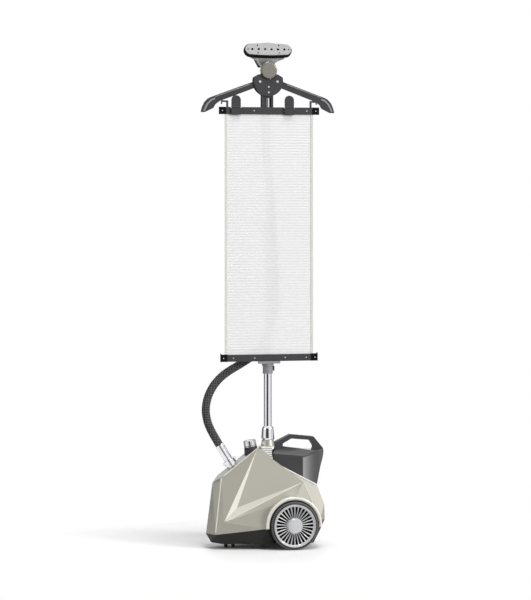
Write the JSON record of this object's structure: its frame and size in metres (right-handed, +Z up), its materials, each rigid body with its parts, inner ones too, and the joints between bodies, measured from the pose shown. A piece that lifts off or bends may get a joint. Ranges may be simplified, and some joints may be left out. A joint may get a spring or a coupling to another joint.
{
  "type": "garment steamer",
  "caption": "Upright garment steamer on a wheeled faceted base, with a lift-out tank, telescopic pole, folding hanger, pressing board and hose-fed steam head.",
  "frame": {"origin": "on the floor, under the pole, at the middle of the bounding box's underside", "axes": "+Z up the pole, +X towards the tank end of the base, -Y the side that the pressing board faces"},
  "size_m": [0.458, 0.261, 1.6865],
  "materials": {
    "champagne": "pearl champagne paint, satin gloss",
    "silver_grey": "silver-grey painted plastic",
    "dark_plastic": "moulded, fine grain",
    "smoked_tank": "smoked translucent plastic",
    "chrome": "polished",
    "steel": "zinc plated",
    "aluminium": "satin",
    "brass": "machined",
    "board_green": "solder mask",
    "tyre": "moulded rubber",
    "wheel_silver": "silver paint",
    "board_cloth": "sheer ribbed polyester",
    "hose_braid": "braided sleeve"
  },
  "bodies": {
    "base": {"base_pan": "dark_plastic", "side_shell_left": "champagne", "side_shell_right": "champagne", "spine_cover": "silver_grey", "tank_deck": "silver_grey", "vent_tower": "silver_grey", "pole_collar": "champagne", "pole_cup": "chrome", "lower_tube": "chrome", "lower_lock_collar": "dark_plastic", "bottom_bar": "dark_plastic", "base_fasteners": "steel", "board_fabric": "board_cloth", "steam_hose": "hose_braid", "rear_axle": "steel", "boiler": "aluminium", "pan_posts": "dark_plastic", "water_pump": "dark_plastic", "valve_seat": "dark_plastic", "control_board": "board_green", "mains_gland": "dark_plastic", "hose_port": "chrome", "hose_collar": "chrome", "hose_sleeve": "chrome", "knob_pedestal": "dark_plastic", "steam_valve": "brass"},
    "wheel_left": {"tyre_left": "tyre", "wheel_rim_left": "wheel_silver", "wheel_cap_left": "wheel_silver"},
    "wheel_right": {"tyre_right": "tyre", "wheel_rim_right": "wheel_silver", "wheel_cap_right": "wheel_silver"},
    "caster": {"caster_fork": "dark_plastic"},
    "caster_roller": {"caster_wheels": "tyre"},
    "knob": {"steam_knob": "chrome"},
    "tank": {"tank_body": "smoked_tank", "tank_handle": "smoked_tank", "tank_valve_cap": "dark_plastic"},
    "lower_lever": {"lower_lock_lever": "dark_plastic"},
    "upper_lever": {"upper_lock_lever": "dark_plastic"},
    "pole_mid": {"mid_tube": "chrome", "upper_lock_collar": "dark_plastic"},
    "pole_upper": {"upper_tube": "chrome", "hanger_stem": "dark_plastic", "hub_front": "dark_plastic", "hub_back": "dark_plastic", "hanger_fasteners": "steel", "top_bar": "dark_plastic", "board_hooks": "dark_plastic"},
    "arm_left": {"arm_left": "dark_plastic"},
    "arm_right": {"arm_right": "dark_plastic"},
    "clip_left": {"clip_left": "dark_plastic"},
    "clip_right": {"clip_right": "dark_plastic"},
    "steam_head": {"soleplate": "aluminium", "head_seal": "dark_plastic", "head_shell": "silver_grey", "head_neck": "dark_plastic", "head_handle": "dark_plastic", "round_cap": "champagne", "hose_cuff": "dark_plastic"}
  },
  "joints": [
    {"name": "wheel_left_spin", "type": "hinge", "parent": "base", "child": "wheel_left", "pos_m": [0.062, -0.112, 0.08], "axis": [0, 1, 0], "continuous": true},
    {"name": "wheel_right_spin", "type": "hinge", "parent": "base", "child": "wheel_right", "pos_m": [0.062, 0.112, 0.08], "axis": [0, 1, 0], "continuous": true},
    {"name": "caster_swivel", "type": "hinge", "parent": "base", "child": "caster", "pos_m": [-0.131, 0, 0.04], "axis": [0, 0, 1], "continuous": true},
    {"name": "caster_roll", "type": "hinge", "parent": "caster", "child": "caster_roller", "pos_m": [-0.131, 0.006, 0.015], "axis": [1, 0, 0], "continuous": true},
    {"name": "steam_knob_turn", "type": "hinge", "parent": "base", "child": "knob", "pos_m": [-0.054, 0, 0.303], "axis": [-0.1736, 0, 0.9848], "range_deg": [0, 240]},
    {"name": "tank_lift", "type": "slide", "parent": "base", "child": "tank", "axis": [0, 0, 1], "range_m": [0, 0.16]},
    {"name": "lower_lever_flip", "type": "hinge", "parent": "base", "child": "lower_lever", "pos_m": [0.0198, 0, 0.601], "axis": [0, -1, 0], "range_deg": [0, 90]},
    {"name": "upper_lever_flip", "type": "hinge", "parent": "pole_mid", "child": "upper_lever", "pos_m": [0.0168, 0, 1.074], "axis": [0, -1, 0], "range_deg": [0, 90]},
    {"name": "pole_upper_slide", "type": "slide", "parent": "base", "child": "pole_upper", "axis": [0, 0, 1], "range_m": [-0.6, 0], "deforming": ["board_fabric", "steam_hose"]},
    {"name": "pole_mid_slide", "type": "slide", "parent": "base", "child": "pole_mid", "axis": [0, 0, 1], "range_m": [-0.3, 0]},
    {"name": "arm_left_fold", "type": "hinge", "parent": "pole_upper", "child": "arm_left", "pos_m": [-0.03, 0, 1.555], "axis": [0, -1, 0], "range_deg": [0, 60]},
    {"name": "arm_right_fold", "type": "hinge", "parent": "pole_upper", "child": "arm_right", "pos_m": [0.03, 0, 1.555], "axis": [0, 1, 0], "range_deg": [0, 60]},
    {"name": "clip_left_pinch", "type": "hinge", "parent": "pole_upper", "child": "clip_left", "pos_m": [-0.115, -0.026, 1.468], "axis": [-1, 0, 0], "range_deg": [0, 18], "stiffness_Nm_per_rad": 0.06, "springref_deg": -14.32},
    {"name": "clip_right_pinch", "type": "hinge", "parent": "pole_upper", "child": "clip_right", "pos_m": [0.068, -0.026, 1.468], "axis": [-1, 0, 0], "range_deg": [0, 18], "stiffness_Nm_per_rad": 0.06, "springref_deg": -14.32},
    {"name": "head_lift", "type": "slide", "parent": "pole_upper", "child": "steam_head", "axis": [0, 0, 1], "range_m": [0, 0.04]}
  ],
  "couplings": [
    {"joint": "pole_mid_slide", "follows": "pole_upper_slide", "ratio": 0.5}
  ]
}
